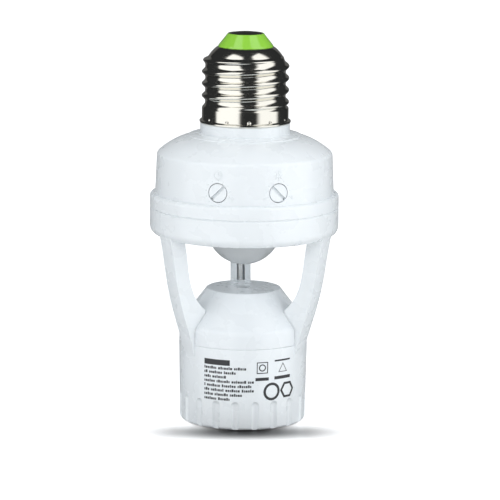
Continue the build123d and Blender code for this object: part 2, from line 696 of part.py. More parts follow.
lamp_live_wire = arm_wire(180.0, -rivet_x)
lamp_neutral_wire = arm_wire(60.0, rivet_x)
cap_live_wire = cable(
    [
        (0, 0, shell_top_z - 4.2), (0.6, 0.4, shoulder_z - 4.9), (-1.6, 1.6, thread_z + 0.8),
        (4.4 - neck_bore_r, 2.6, rim_z - 0.1), (3.2 - neck_bore_r, 2.6, neck_base_z - 1.2),
        (relay_left_x + 1.2, 2.6, neck_base_z - 3.6), (relay_left_x - 3.0, 3.6, neck_base_z - 7.6),
        (relay_left_x - 3.4, 5.4, board_top + 0.25),
    ],
    cap_wire_r,
)
dropper_front_y = dropper_y - dropper_width / 2
cap_neutral_wire = cable(
    [
        (cap_bore_r - 1.4, 0, thread_z + 7.8), (neck_bore_r - 1.8, 1.4, thread_z - 0.2),
        (neck_bore_r - 3.8, 3.0, rim_z - 0.1), (neck_bore_r - 3.2, 4.0, neck_base_z - 1.6),
        (9.6, dropper_front_y - 4.8, neck_base_z - 6.0), (11.8, dropper_front_y - 2.4, neck_base_z - 10.6),
        (12.2, dropper_front_y - 1.8, board_top + 0.25),
    ],
    cap_wire_r,
)

# Write every piece
nodes = {
    "cap_shell": cap_shell,
    "cap_insulator": cap_insulator,
    "cap_contact": cap_contact,
    "upper_housing": upper_housing,
    "time_knob": time_knob,
    "lux_knob": lux_knob,
    "time_trimmer": time_trimmer,
    "lux_trimmer": lux_trimmer,
    "circuit_board": circuit_board,
    "relay": relay,
    "dropper_capacitor": dropper_capacitor,
    "smoothing_capacitor": smoothing_capacitor,
    "control_chip": control_chip,
    "rectifier": rectifier,
    "fuse_resistor": fuse_resistor,
    "sensor_spacer": sensor_spacer,
    "pir_sensor": pir_sensor,
    "photocell": photocell,
    "lens_dome": lens_dome,
    "lens_retainer": lens_retainer,
    "arm_frame": arm_frame,
    "board_screws": board_screws,
    "socket_cover": socket_cover,
    "cover_screw": cover_screw,
    "socket_insert": socket_insert,
    "socket_shell": socket_shell,
    "socket_contact": socket_contact,
    "live_rivet": live_rivet,
    "neutral_rivet": neutral_rivet,
    "shell_strap": shell_strap,
    "lamp_live_wire": lamp_live_wire,
    "lamp_neutral_wire": lamp_neutral_wire,
    "cap_live_wire": cap_live_wire,
    "cap_neutral_wire": cap_neutral_wire,
}
for name, shape in nodes.items():
    export_step(shape, "parts/" + name + ".step")
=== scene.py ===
"""Looks of the motion sensor lamp holder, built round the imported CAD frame."""

import json
import logging
import math
from dataclasses import dataclass, replace
from enum import Enum
from typing import Callable, Iterable, Optional, Sequence

import bpy
from mathutils import Matrix, Vector

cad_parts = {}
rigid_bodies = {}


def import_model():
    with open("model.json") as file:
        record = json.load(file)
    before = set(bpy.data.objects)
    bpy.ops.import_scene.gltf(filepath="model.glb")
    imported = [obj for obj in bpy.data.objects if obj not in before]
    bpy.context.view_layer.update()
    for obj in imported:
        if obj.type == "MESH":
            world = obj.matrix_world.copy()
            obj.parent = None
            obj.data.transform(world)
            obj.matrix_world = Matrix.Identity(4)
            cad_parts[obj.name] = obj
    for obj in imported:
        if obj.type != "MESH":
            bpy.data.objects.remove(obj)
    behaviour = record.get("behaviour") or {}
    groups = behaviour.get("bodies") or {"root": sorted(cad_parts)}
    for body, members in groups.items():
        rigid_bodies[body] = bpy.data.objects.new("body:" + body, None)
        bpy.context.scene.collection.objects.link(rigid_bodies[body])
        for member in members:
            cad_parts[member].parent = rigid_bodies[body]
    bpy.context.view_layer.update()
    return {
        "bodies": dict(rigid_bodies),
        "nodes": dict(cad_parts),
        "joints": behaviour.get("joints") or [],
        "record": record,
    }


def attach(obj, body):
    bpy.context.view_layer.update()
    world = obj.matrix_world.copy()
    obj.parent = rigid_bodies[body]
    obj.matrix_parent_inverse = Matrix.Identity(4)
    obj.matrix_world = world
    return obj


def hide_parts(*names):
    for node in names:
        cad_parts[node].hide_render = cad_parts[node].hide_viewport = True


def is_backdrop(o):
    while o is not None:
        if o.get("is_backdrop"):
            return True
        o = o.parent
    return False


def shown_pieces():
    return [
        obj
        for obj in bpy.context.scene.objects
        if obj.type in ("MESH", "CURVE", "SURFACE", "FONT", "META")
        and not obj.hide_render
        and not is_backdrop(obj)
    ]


LOG = logging.getLogger("lamp_holder")
MM = 0.001
TAU = 2 * math.pi
FLAT_SMOOTH_DEG = 30.0
ROUND_SMOOTH_DEG = 60.0

Pair = tuple[float, float]
Triple = tuple[float, float, float]
Outline = Sequence[Pair]


class Texture(Enum):
    """Kinds of fine relief a finish can carry."""

    NONE = "none"
    MOULDED = "moulded"
    ROLLED = "rolled"
    CAST = "cast"
    FACETED = "faceted"


@dataclass(frozen=True)
class Finish:
    """Numbers that make one procedural material."""

    name: str
    color: Triple
    roughness: float
    metallic: float = 0.0
    coat: float = 0.0
    subsurface: float = 0.0
    subsurface_mm: float = 1.0
    ior: float = 1.46
    edge_mm: float = 0.12
    texture: Texture = Texture.NONE
    relief_mm: float = 0.004
    grain: float = 900.0
    spread: float = 0.05


@dataclass(frozen=True)
class CapSize:
    """Sizes of the screw cap and the socket shell, in millimetres."""

    pitch: float = 25.4 / 7
    crest_at_front_z: float = 97.45
    root_r: float = 12.15
    crest_r: float = 13.2
    skirt_r: float = 13.1
    rim_r: float = 13.8
    hem_z: float = 89.9
    rim_z: float = 91.1
    rim_round: float = 0.45
    flare_height: float = 0.45
    skirt_z: float = 92.2
    thread_z: float = 96.2
    step_below: float = 0.7
    step_above: float = 0.5
    fade_below: float = 0.6
    fade_above: float = 1.0
    thread_sharpness: float = 1.5
    shoulder_z: float = 110.9
    shoulder_run: float = 2.2
    shoulder_fade: float = 0.5
    shoulder_fullness: float = 1.55
    shoulder_roundness: float = 0.8
    top_z: float = 114.1
    top_r: float = 8.4
    sheet: float = 0.38
    inner_gap: float = 0.25
    inner_skirt_rise: float = 0.4
    crimps: int = 12
    crimp_z: float = 92.55
    crimp_turn_deg: float = 2.8
    crimp_depth: float = 0.34
    crimp_spread: float = 0.16
    neck_r: float = 13.55
    hem_r: float = 12.75
    lip_rise: float = 0.15
    lip_squareness: float = 0.25
    socket_root_r: float = 12.2
    socket_crest_r: float = 13.3
    socket_low_z: float = 3.4
    socket_high_z: float = 23.6
    socket_fade: float = 1.2


@dataclass(frozen=True)
class WallSize:
    """Radii of the round walls that carry marks, in millimetres."""

    foot_r: float = 19.1
    collar_r: float = 19.5
    collar_z: float = 22.9
    dome_low_r: float = 27.1
    dome_low_z: float = 68.7
    dome_high_r: float = 26.55
    dome_high_z: float = 82.2


@dataclass(frozen=True)
class PrintSize:
    """Sizes of the print on the collar, in millimetres along the wall and up it."""

    level: float = 14.1
    lift: float = 0.02
    lines_azimuth_deg: float = -17.0
    signs_azimuth_deg: float = 30.0
    left_edge: float = -7.4
    heading_z: float = 6.7
    heading_width: float = 8.4
    heading_height: float = 1.7
    first_row_z: float = 4.9
    row_pitch: float = 1.36
    row_widths: tuple[float, ...] = (13.4, 10.3, 7.6, 15.7, 14.8, 15.3, 12.2, 8.2)
    stroke: float = 0.34
    stroke_step: float = 0.12
    low_block: float = 0.66
    tall_block: float = 0.86
    narrow_gap: float = 0.17
    wide_gap: float = 0.62


@dataclass(frozen=True)
class KnobMarkSize:
    """Sizes of the raised marks round the two knobs, in millimetres along the wall and up it."""

    azimuth_deg: float = 19.6
    level: float = 73.6
    lift: float = 0.12
    sign_z: float = 5.3
    clock_r: float = 1.35
    clock_line: float = 0.28
    hand: float = 0.24
    sun_r: float = 0.72
    sun_line: float = 0.26
    rays: int = 8
    ray_start: float = 0.98
    ray_end: float = 1.42
    ray_half_width: float = 0.11
    side_x: float = 4.5
    side_z: float = -1.6
    side_length: float = 1.1
    side_line: float = 0.3
    tick_arc_r: float = 3.75
    tick_r: float = 0.17
    ticks: int = 11
    tick_start_deg: float = -45
    tick_sweep_deg: float = 270


@dataclass(frozen=True)
class SoftBox:
    """Rectangular area light, in metres and watts."""

    name: str
    place: Triple
    size: Pair
    power: float
    aim: Triple = (0, 0, 0.06)
    color: Triple = (1, 1, 1)


@dataclass(frozen=True)
class Card:
    """Upright glowing card that only mirrors see, in metres.

    Its azimuth runs from the front, plus towards the right, and its glow fades out near its edges.
    """

    name: str
    azimuth_deg: float
    distance: float
    size: Pair
    level: float
    strength: float
    side_fade: float
    end_fade: float = 0.20


WALL = WallSize()

WHITE = Finish(
    "white_case", (0.83, 0.865, 0.883), 0.27, coat=0.15, subsurface=0.05, texture=Texture.MOULDED,
    relief_mm=0.0012, spread=0.012,
)

FINISHES: dict[str, Finish] = {
    finish.name: finish
    for finish in (
        WHITE,
        replace(WHITE, name="white_frame"),
        replace(WHITE, name="white_cover", color=(0.82, 0.855, 0.878)),
        replace(WHITE, name="knob_plastic", roughness=0.28),
        Finish("nickel_shell", (0.83, 0.815, 0.75), 0.13, 1.0, texture=Texture.ROLLED),
        Finish(
            "green_glass", (0.30, 0.65, 0.065), 0.07,
            coat=0.7, subsurface=0.12, ior=1.52, texture=Texture.CAST,
        ),
        Finish(
            "contact_metal", (0.16, 0.15, 0.14), 0.38, 1.0,
            texture=Texture.CAST, relief_mm=0.03, grain=500,
        ),
        Finish("lens_milky", (0.58, 0.60, 0.61), 0.33, coat=0.1, subsurface=0.35, texture=Texture.FACETED),
        Finish("trimmer_blue", (0.03, 0.10, 0.42), 0.35, texture=Texture.CAST),
        Finish("board_green", (0.015, 0.13, 0.045), 0.32, coat=0.4, texture=Texture.CAST),
        Finish("relay_black", (0.02, 0.02, 0.022), 0.32, texture=Texture.MOULDED),
        Finish("film_yellow", (0.60, 0.38, 0.03), 0.30, coat=0.3, texture=Texture.CAST),
        Finish("can_sleeve", (0.02, 0.03, 0.12), 0.24, coat=0.3, texture=Texture.MOULDED),
        Finish("chip_black", (0.02, 0.02, 0.02), 0.55, texture=Texture.CAST),
        Finish("resistor_green", (0.05, 0.17, 0.09), 0.4, texture=Texture.CAST),
        Finish("spacer_white", (0.70, 0.70, 0.68), 0.45, texture=Texture.MOULDED),
        Finish("sensor_can", (0.62, 0.62, 0.61), 0.25, 1.0, texture=Texture.ROLLED),
        Finish("photocell_red", (0.42, 0.09, 0.04), 0.4, texture=Texture.CAST),
        # Near-black screw finish is painted shade: it makes the screw in the cover's hole read as a dark
        # hole. The board screws share it.
        Finish("screw_steel", (0.05, 0.05, 0.052), 0.6, 0.5, texture=Texture.ROLLED),
        Finish("insulator_white", (0.66, 0.64, 0.59), 0.6, texture=Texture.CAST, relief_mm=0.02),
        Finish("socket_nickel", (0.66, 0.66, 0.65), 0.2, 1.0, texture=Texture.ROLLED),
        Finish("spring_brass", (0.62, 0.41, 0.12), 0.25, 1.0, texture=Texture.ROLLED),
        Finish("rivet_brass", (0.62, 0.41, 0.12), 0.3, 1.0, texture=Texture.ROLLED),
        Finish("wire_white", (0.88, 0.88, 0.87), 0.4, subsurface=0.2),
        Finish("wire_red", (0.45, 0.02, 0.015), 0.4),
        Finish("wire_black", (0.015, 0.015, 0.015), 0.4),
        Finish("print_grey", (0.035, 0.037, 0.04), 0.42, texture=Texture.CAST, relief_mm=0.002),
    )
}

SOFT_BOXES = (
    SoftBox("key", place=(-0.12, -0.85, 0.65), size=(0.5, 0.5), power=2.35),
    SoftBox("low_front", place=(0.05, -0.95, 0.06), size=(0.8, 0.15), power=0.5, aim=(0, 0, 0.04)),
    SoftBox("fill", place=(0.75, -0.55, 0.35), size=(0.5, 0.7), power=1.1, color=(0.97, 0.985, 1.0)),
    SoftBox("left_side", place=(-0.85, -0.1, 0.25), size=(0.35, 0.8), power=1.0),
    SoftBox("right_side", place=(0.85, -0.1, 0.25), size=(0.35, 0.8), power=1.3),
    SoftBox("top", place=(0, 0.1, 1.0), size=(0.9, 0.9), power=1.4),
)

CARDS = (
    Card("left_card", -51.0, distance=1.0, size=(1.56, 3.6), level=1.0, strength=1.25, side_fade=0.22),
    Card("right_card", 62.0, distance=1.0, size=(1.50, 3.6), level=1.0, strength=1.2, side_fade=0.36),
    Card("back_card", 180.0, distance=1.2, size=(1.7, 1.4), level=0.1, strength=0.13, side_fade=0.3),
)


def add_object(name: str, data: bpy.types.ID) -> bpy.types.Object:
    """Puts a new object into the scene.

    Args:
        name: object name.
        data: its mesh, light or camera.

    Returns:
        The object.
    """
    made = bpy.data.objects.new(name, data)
    bpy.context.scene.collection.objects.link(made)
    return made


def add_node(tree: bpy.types.NodeTree, kind: str,
             values: Optional[dict[str, object]] = None) -> bpy.types.Node:
    """Puts a new node into a tree.

    Args:
        tree: node tree.
        kind: the node's type.
        values: what its inputs say when nothing is linked to them.

    Returns:
        The node.
    """
    node = tree.nodes.new(kind)
    for name, value in (values or {}).items():
        node.inputs[name].default_value = value
    return node


def add_math(tree: bpy.types.NodeTree, operation: str, second: Optional[float] = None) -> bpy.types.Node:
    """Puts a new math node into a tree.

    Args:
        tree: node tree.
        operation: what it does.
        second: its second value, where that isn't linked.

    Returns:
        The node.
    """
    node = tree.nodes.new("ShaderNodeMath")
    node.operation = operation
    if second is not None:
        node.inputs[1].default_value = second
    return node


def shade(mesh: bpy.types.Mesh, angle_deg: float) -> None:
    """Smooth shading that keeps edges sharper than an angle.

    Args:
        mesh: mesh to shade.
        angle_deg: edges sharper than this stay sharp.
    """
    mesh.polygons.foreach_set("use_smooth", [True] * len(mesh.polygons))
    mesh.set_sharp_from_angle(angle=math.radians(angle_deg))
    mesh.update()


def smoothstep(low: float, high: float, value: float) -> float:
    """Eased share of the way from low to high."""
    t = min(1.0, max(0.0, (value - low) / (high - low)))
    return t * t * (3 - 2 * t)


def between(start: Pair, end: Pair, share: float) -> Pair:
    """Point at a share of the way from start to end."""
    return start[0] + (end[0] - start[0]) * share, start[1] + (end[1] - start[1]) * share


def around(radius: float, theta: float, z: float) -> Vector:
    """Point in metres at a radius, an angle from the right and a height in millimetres."""
    return Vector((radius * math.cos(theta), radius * math.sin(theta), z)) * MM


def on_cylinder(radius: float, azimuth_deg: float, z: float) -> Vector:
    """Point in metres at a radius, an azimuth from the front and a height in millimetres."""
    a = math.radians(azimuth_deg)
    return Vector((radius * math.sin(a), -radius * math.cos(a), z)) * MM


def collar_radius(z: float) -> float:
    """Outside radius of the collar at a height."""
    return WALL.foot_r + (WALL.collar_r - WALL.foot_r) * min(1.0, max(0.0, z / WALL.collar_z))


def dome_radius(z: float) -> float:
    """Outside radius of the dome's side wall at a height."""
    taper = WALL.dome_high_r - WALL.dome_low_r
    return WALL.dome_low_r + taper * (z - WALL.dome_low_z) / (WALL.dome_high_z - WALL.dome_low_z)


class MaterialMaker:
    """Builds each procedural material once and hands it out by name."""

    COAT_ROUGHNESS = 0.08
    SCATTER_SHARES = (1.0, 0.9, 0.8)
    BEVEL_SAMPLES = 6
    DRIFT_NOISE = {"Scale": 45.0, "Detail": 4.0}
    DRIFT_ENDS = (0.3, 0.7)
    LIGHT_SHARE = 0.5
    WEAR_NOISE = {"Scale": 160.0, "Detail": 6.0}
    WEAR_SHARES = (0.85, 1.2)
    FACETS = {"Scale": 420.0}
    GRAIN_DETAIL = 3.0
    ROLLED_STRETCH = {"Scale": (0.12, 0.12, 2.4)}

    def __init__(self, finishes: dict[str, Finish]) -> None:
        """Keeps the finishes it can build."""
        self.finishes = finishes
        self.made: dict[str, bpy.types.Material] = {}

    def get(self, name: str) -> bpy.types.Material:
        """Material for a finish.

        Args:
            name: key of the finish.

        Returns:
            The material, made on first use.
        """
        if name not in self.made:
            self.made[name] = self._build(self.finishes[name])
        return self.made[name]

    def _build(self, finish: Finish) -> bpy.types.Material:
        """Node tree for one finish: base, worn roughness, relief and rounded edges.

        Args:
            finish: the finish.

        Returns:
            Its material.
        """
        material = bpy.data.materials.new(finish.name)
        material.use_nodes = True
        tree = material.node_tree
        shader = tree.nodes["Principled BSDF"]
        shader.inputs["Metallic"].default_value = finish.metallic
        shader.inputs["IOR"].default_value = finish.ior
        shader.inputs["Coat Weight"].default_value = finish.coat
        shader.inputs["Coat Roughness"].default_value = self.COAT_ROUGHNESS
        if finish.subsurface > 0:
            shader.inputs["Subsurface Weight"].default_value = finish.subsurface
            shader.inputs["Subsurface Scale"].default_value = finish.subsurface_mm * MM
            shader.inputs["Subsurface Radius"].default_value = self.SCATTER_SHARES
        where = add_node(tree, "ShaderNodeTexCoord").outputs["Object"]
        bevel = add_node(tree, "ShaderNodeBevel", {"Radius": finish.edge_mm * MM})
        bevel.samples = self.BEVEL_SAMPLES
        self._tint(tree, shader, where, finish)
        self._wear(tree, shader, where, finish)
        if finish.texture is Texture.NONE:
            tree.links.new(bevel.outputs["Normal"], shader.inputs["Normal"])
            return material
        bump = add_node(tree, "ShaderNodeBump", {"Distance": finish.relief_mm * MM, "Strength": 1.0})
        tree.links.new(bevel.outputs["Normal"], bump.inputs["Normal"])
        tree.links.new(self._relief(tree, where, finish), bump.inputs["Height"])
        tree.links.new(bump.outputs["Normal"], shader.inputs["Normal"])
        return material

    def _tint(self, tree: bpy.types.NodeTree, shader: bpy.types.Node, where: bpy.types.NodeSocket,
              finish: Finish) -> None:
        """Slow colour drift, so that no face is one flat value.

        Args:
            tree: the material's nodes.
            shader: node that takes the colour.
            where: place on the object.
            finish: the finish.
        """
        noise = add_node(tree, "ShaderNodeTexNoise", self.DRIFT_NOISE)
        ramp = add_node(tree, "ShaderNodeValToRGB")
        dark = tuple(c * (1 - finish.spread) for c in finish.color)
        light = tuple(min(1.0, c * (1 + finish.spread * self.LIGHT_SHARE)) for c in finish.color)
        for element, position, color in zip(ramp.color_ramp.elements, self.DRIFT_ENDS, (dark, light)):
            element.position = position
            element.color = (*color, 1)
        tree.links.new(where, noise.inputs["Vector"])
        tree.links.new(noise.outputs["Fac"], ramp.inputs["Fac"])
        tree.links.new(ramp.outputs["Color"], shader.inputs["Base Color"])

    def _wear(self, tree: bpy.types.NodeTree, shader: bpy.types.Node, where: bpy.types.NodeSocket,
              finish: Finish) -> None:
        """Handling marks: roughness that wanders by about a fifth.

        Args:
            tree: the material's nodes.
            shader: node that takes the roughness.
            where: place on the object.
            finish: the finish.
        """
        low, high = self.WEAR_SHARES
        noise = add_node(tree, "ShaderNodeTexNoise", self.WEAR_NOISE)
        spread = add_node(tree, "ShaderNodeMapRange")
        spread.inputs["To Min"].default_value = finish.roughness * low
        spread.inputs["To Max"].default_value = min(1.0, finish.roughness * high)
        tree.links.new(where, noise.inputs["Vector"])
        tree.links.new(noise.outputs["Fac"], spread.inputs["Value"])
        tree.links.new(spread.outputs["Result"], shader.inputs["Roughness"])

    def _relief(self, tree: bpy.types.NodeTree, where: bpy.types.NodeSocket,
                finish: Finish) -> bpy.types.NodeSocket:
        """Height signal of the finish's texture.

        Args:
            tree: the material's nodes.
            where: place on the object.
            finish: the finish.

        Returns:
            Output that carries the height.
        """
        if finish.texture is Texture.FACETED:
            cells = add_node(tree, "ShaderNodeTexVoronoi", self.FACETS)
            tree.links.new(where, cells.inputs["Vector"])
            return cells.outputs["Distance"]
        noise = add_node(tree, "ShaderNodeTexNoise", {"Detail": self.GRAIN_DETAIL, "Scale": finish.grain})
        if finish.texture is Texture.ROLLED:
            stretch = add_node(tree, "ShaderNodeMapping", self.ROLLED_STRETCH)
            tree.links.new(where, stretch.inputs["Vector"])
            tree.links.new(stretch.outputs["Vector"], noise.inputs["Vector"])
        else:
            tree.links.new(where, noise.inputs["Vector"])
        return noise.outputs["Fac"]


class MeshBuilder:
    """Turns points and faces into objects that ride on a CAD body."""

    def __init__(self, materials: MaterialMaker) -> None:
        """Keeps the materials that its objects take."""
        self.materials = materials

    def link(self, name: str, points: Sequence[Vector], faces: Sequence[Sequence[int]], finish: str,
             body: str, smooth_deg: float) -> bpy.types.Object:
        """Object from points in metres and faces.

        Args:
            name: object name.
            points: vertices.
            faces: index loops.
            finish: key of the finish.
            body: CAD body it rides on.
            smooth_deg: edges sharper than this stay sharp.

        Returns:
            The new object, at the origin with its place in the mesh.
        """
        mesh = bpy.data.meshes.new(name)
        mesh.from_pydata([tuple(p) for p in points], [], [tuple(f) for f in faces])
        mesh.validate()
        mesh.update()
        shade(mesh, smooth_deg)
        mesh.materials.append(self.materials.get(finish))
        made = add_object(name, mesh)
        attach(made, body)
        return made

    def surface(self, name: str, rows: int, columns: int, place: Callable[[int, float], Vector],
                finish: str, body: str) -> bpy.types.Object:
        """Closed ring-shaped surface.

        Args:
            name: object name.
            rows: steps round its section.
            columns: steps round the axis.
            place: point for a step round the section and an angle round the axis.
            finish: key of the finish.
            body: CAD body it rides on.

        Returns:
            The new object.
        """
        points = [place(i, TAU * j / columns) for i in range(rows) for j in range(columns)]
        faces = []
        for i in range(rows):
            row = i * columns
            after = (i + 1) % rows * columns
            for j in range(columns):
                beside = (j + 1) % columns
                faces.append((row + j, row + beside, after + beside, after + j))
        return self.link(name, points, faces, finish, body, ROUND_SMOOTH_DEG)


class ScrewCap:
    """Thin rolled shell of the cap and threaded shell of the socket, with a true helix."""

    OUTER_ROWS = 176
    INNER_ROWS = 60
    CAP_COLUMNS = 300
    LIP_ROWS = 32
    LIP_COLUMNS = 128
    SOCKET_ROWS = 70
    SOCKET_COLUMNS = 160

    def __init__(self, builder: MeshBuilder, size: CapSize) -> None:
        """Keeps the mesh builder and the sizes."""
        self.builder = builder
        self.size = size

    def wave(self, theta: float, z: float) -> float:
        """Height of the thread between 0 and 1 at an angle and a level."""
        phase = (z - self.size.crest_at_front_z) / self.size.pitch - theta / TAU
        return 0.5 + 0.5 * math.cos(TAU * phase)

    def core_radius(self, z: float) -> float:
        """Radius of the shell without its thread.

        Args:
            z: height.

        Returns:
            Radius of the flared rim, the skirt, the thread's root or the shoulder there.
        """
        s = self.size
        if z <= s.skirt_z:
            return s.rim_r + (s.skirt_r - s.rim_r) * smoothstep(s.skirt_z - s.flare_height, s.skirt_z, z)
        start = s.shoulder_z - s.shoulder_run
        if z < start:
            inward = smoothstep(s.thread_z - s.step_below, s.thread_z + s.step_above, z)
            return s.skirt_r + (s.root_r - s.skirt_r) * inward
        share = min(1.0, (z - start) / (s.top_z - start))
        left = (1 - share ** s.shoulder_fullness) ** s.shoulder_roundness
        return s.top_r + (s.root_r - s.top_r) * left

    def cap_radius(self, theta: float, z: float) -> float:
        """Outer radius of the cap shell.

        Args:
            theta: angle round the axis.
            z: height.

        Returns:
            Radius with the thread, which fades at both ends, and the crimp marks.
        """
        s = self.size
        fade_in = smoothstep(s.thread_z - s.fade_below, s.thread_z + s.fade_above, z)
        fade_out = smoothstep(s.shoulder_z - s.shoulder_fade, s.shoulder_z + s.shoulder_fade, z)
        crest = (s.crest_r - s.root_r) * (fade_in * (1 - fade_out))
        radius = self.core_radius(z) + crest * self.wave(theta, z) ** s.thread_sharpness
        turn = math.degrees(theta) + 90 - s.crimp_turn_deg
        step = 360 / s.crimps
        off = ((turn + step / 2) % step - step / 2) * math.pi / 180 * s.skirt_r
        away = off * off + (z - s.crimp_z) ** 2
        return min(radius, s.rim_r) - s.crimp_depth * math.exp(-away / s.crimp_spread)

    def cap_point(self, step: int, theta: float) -> Vector:
        """Point of the cap's surface.

        Args:
            step: step round the section: up the outside, then down the inside.
            theta: angle round the axis.

        Returns:
            The point, in metres.
        """
        s = self.size
        if step < self.OUTER_ROWS:
            z = s.rim_z + (s.top_z - s.rim_z) * step / (self.OUTER_ROWS - 1)
            radius = self.cap_radius(theta, z)
            above = z - s.rim_z
            if above < s.rim_round:
                run = s.rim_round - above
                radius -= s.rim_round - math.sqrt(max(0.0, s.rim_round ** 2 - run ** 2))
            return around(radius, theta, z)
        z = s.top_z - (s.top_z - s.hem_z) * (step - self.OUTER_ROWS) / (self.INNER_ROWS - 1)
        if z < s.skirt_z + s.inner_skirt_rise:
            return around(s.skirt_r - s.sheet, theta, z)
        return around(self.core_radius(z) - s.sheet - s.inner_gap, theta, z)

    def lip_point(self, step: int, theta: float) -> Vector:
        """Point of the lip's surface, whose section is a rectangle with round corners.

        Args:
            step: step round the section.
            theta: angle round the axis.

        Returns:
            The point, in metres.
        """
        s = self.size
        half_height = (s.rim_z - s.hem_z) / 2 + s.lip_rise
        half_width = (s.neck_r - s.hem_r) / 2
        turn = TAU * (step / self.LIP_ROWS)
        across, up = math.cos(turn), math.sin(turn)
        radius = s.neck_r - half_width + half_width * math.copysign(abs(across) ** s.lip_squareness, across)
        z = s.rim_z - half_height + half_height * math.copysign(abs(up) ** s.lip_squareness, up)
        return around(radius, theta, z)

    def socket_point(self, step: int, theta: float) -> Vector:
        """Point of the socket shell's surface.

        Args:
            step: step round the section: up the outside, then down the inside.
            theta: angle round the axis.

        Returns:
            The point, in metres.
        """
        s = self.size
        outside = step < self.SOCKET_ROWS
        share = (step if outside else 2 * self.SOCKET_ROWS - 1 - step) / (self.SOCKET_ROWS - 1)
        z = s.socket_low_z + (s.socket_high_z - s.socket_low_z) * share
        fade_in = smoothstep(s.socket_low_z, s.socket_low_z + s.socket_fade, z)
        fade = fade_in * (1 - smoothstep(s.socket_high_z - s.socket_fade, s.socket_high_z, z))
        groove = (s.socket_crest_r - s.socket_root_r) * fade * self.wave(theta, z)
        return around(s.socket_root_r + groove + (s.sheet if outside else 0.0), theta, z)

    def make_cap(self) -> bpy.types.Object:
        """Cap shell, outside and inside in one closed surface.

        Returns:
            The object, which stands in for the solid.
        """
        made = self.builder.surface(
            "cap_shell_rolled", self.OUTER_ROWS + self.INNER_ROWS, self.CAP_COLUMNS, self.cap_point,
            "nickel_shell", "housing",
        )
        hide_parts("cap_shell")
        return made

    def make_neck_lip(self) -> bpy.types.Object:
        """White lip that closes the neck round the cap's hem, up to the flared rim."""
        return self.builder.surface(
            "neck_lip", self.LIP_ROWS, self.LIP_COLUMNS, self.lip_point, "white_case", "housing",
        )

    def make_socket(self) -> bpy.types.Object:
        """Socket shell with the matching thread pressed into it.

        Returns:
            The object, which stands in for the solid.
        """
        made = self.builder.surface(
            "socket_shell_rolled", 2 * self.SOCKET_ROWS, self.SOCKET_COLUMNS, self.socket_point,
            "socket_nickel", "housing",
        )
        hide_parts("socket_shell")
        return made


class SurfaceMarks:
    """Printed and raised marks that follow the round walls."""

    ROOT_DEPTH = 0.25
    PIECE_LENGTH = 0.5

    def __init__(self, builder: MeshBuilder) -> None:
        """Keeps the mesh builder."""
        self.builder = builder

    @classmethod
    def patch(cls, points: list[Vector], faces: list[tuple[int, ...]], outline: Outline,
              radius_at: Callable[[float], float], lift: float, centre: Pair) -> None:
        """Adds one mark to a mesh's lists.

        Args:
            points: vertices so far.
            faces: index loops so far.
            outline: the mark's corners, in millimetres along the wall and up it.
            radius_at: radius of the wall at a height.
            lift: how far it stands out of the wall.
            centre: azimuth and height of the place that the outline starts from.
        """
        base = len(points)
        count = len(outline)
        azimuth, level = centre
        for height in (lift, -cls.ROOT_DEPTH):
            for x, z in outline:
                radius = radius_at(level + z)
                points.append(on_cylinder(radius + height, azimuth + math.degrees(x / radius), level + z))
        faces.append(tuple(range(base, base + count)))
        for i in range(count):
            after = (i + 1) % count
            faces.append((base + i, base + count + i, base + count + after, base + after))

    @classmethod
    def strip(cls, start: Pair, end: Pair, inner_start: Pair, inner_end: Pair) -> list[list[Pair]]:
        """Four-sided pieces from one side to the other, short enough to follow the wall.

        Args:
            start: first corner of one long edge.
            end: last corner of that edge.
            inner_start: first corner of the other long edge.
            inner_end: last corner of that edge.

        Returns:
            The pieces' outlines.
        """
        cuts = max(1, math.ceil(abs(end[0] - start[0]) / cls.PIECE_LENGTH))
        pieces = []
        for i in range(cuts):
            low, high = i / cuts, (i + 1) / cuts
            pieces.append([
                between(start, end, low),
                between(start, end, high),
                between(inner_start, inner_end, high),
                between(inner_start, inner_end, low),
            ])
        return pieces

    @classmethod
    def bar(cls, x: float, z: float, width: float, height: float) -> list[list[Pair]]:
        """Bar by its middle."""
        left, right, low, high = x - width / 2, x + width / 2, z - height / 2, z + height / 2
        return cls.strip((left, low), (right, low), (left, high), (right, high))

    @classmethod
    def ring(cls, x: float, z: float, radius: float, line: float, sides: int,
             turn: float = 0.0) -> list[list[Pair]]:
        """Ring or hollow polygon.

        Args:
            x: its middle along the wall.
            z: its middle up the wall.
            radius: distance of its corners from the middle.
            line: thickness of its line.
            sides: how many sides it has.
            turn: angle of its first corner.

        Returns:
            The outlines of its pieces.
        """
        pieces = []
        inner = radius - line
        for i in range(sides):
            corners = []
            for share, r in ((i, radius), (i + 1, radius), (i, inner), (i + 1, inner)):
                a = TAU * share / sides + turn
                corners.append((x + r * math.cos(a), z + r * math.sin(a)))
            pieces += cls.strip(*corners)
        return pieces

    def make(self, name: str, outlines: Iterable[Outline], centre: Pair,
             radius_at: Callable[[float], float], lift: float, finish: str) -> bpy.types.Object:
        """One object from many marks round one centre.

        Args:
            name: object name.
            outlines: the marks.
            centre: azimuth and height of the place that they start from.
            radius_at: radius of the wall at a height.
            lift: how far they stand out of the wall.
            finish: key of the finish.

        Returns:
            The new object.
        """
        points: list[Vector] = []
        faces: list[tuple[int, ...]] = []
        for outline in outlines:
            self.patch(points, faces, outline, radius_at, lift, centre)
        return self.builder.link(name, points, faces, finish, "housing", FLAT_SMOOTH_DEG)


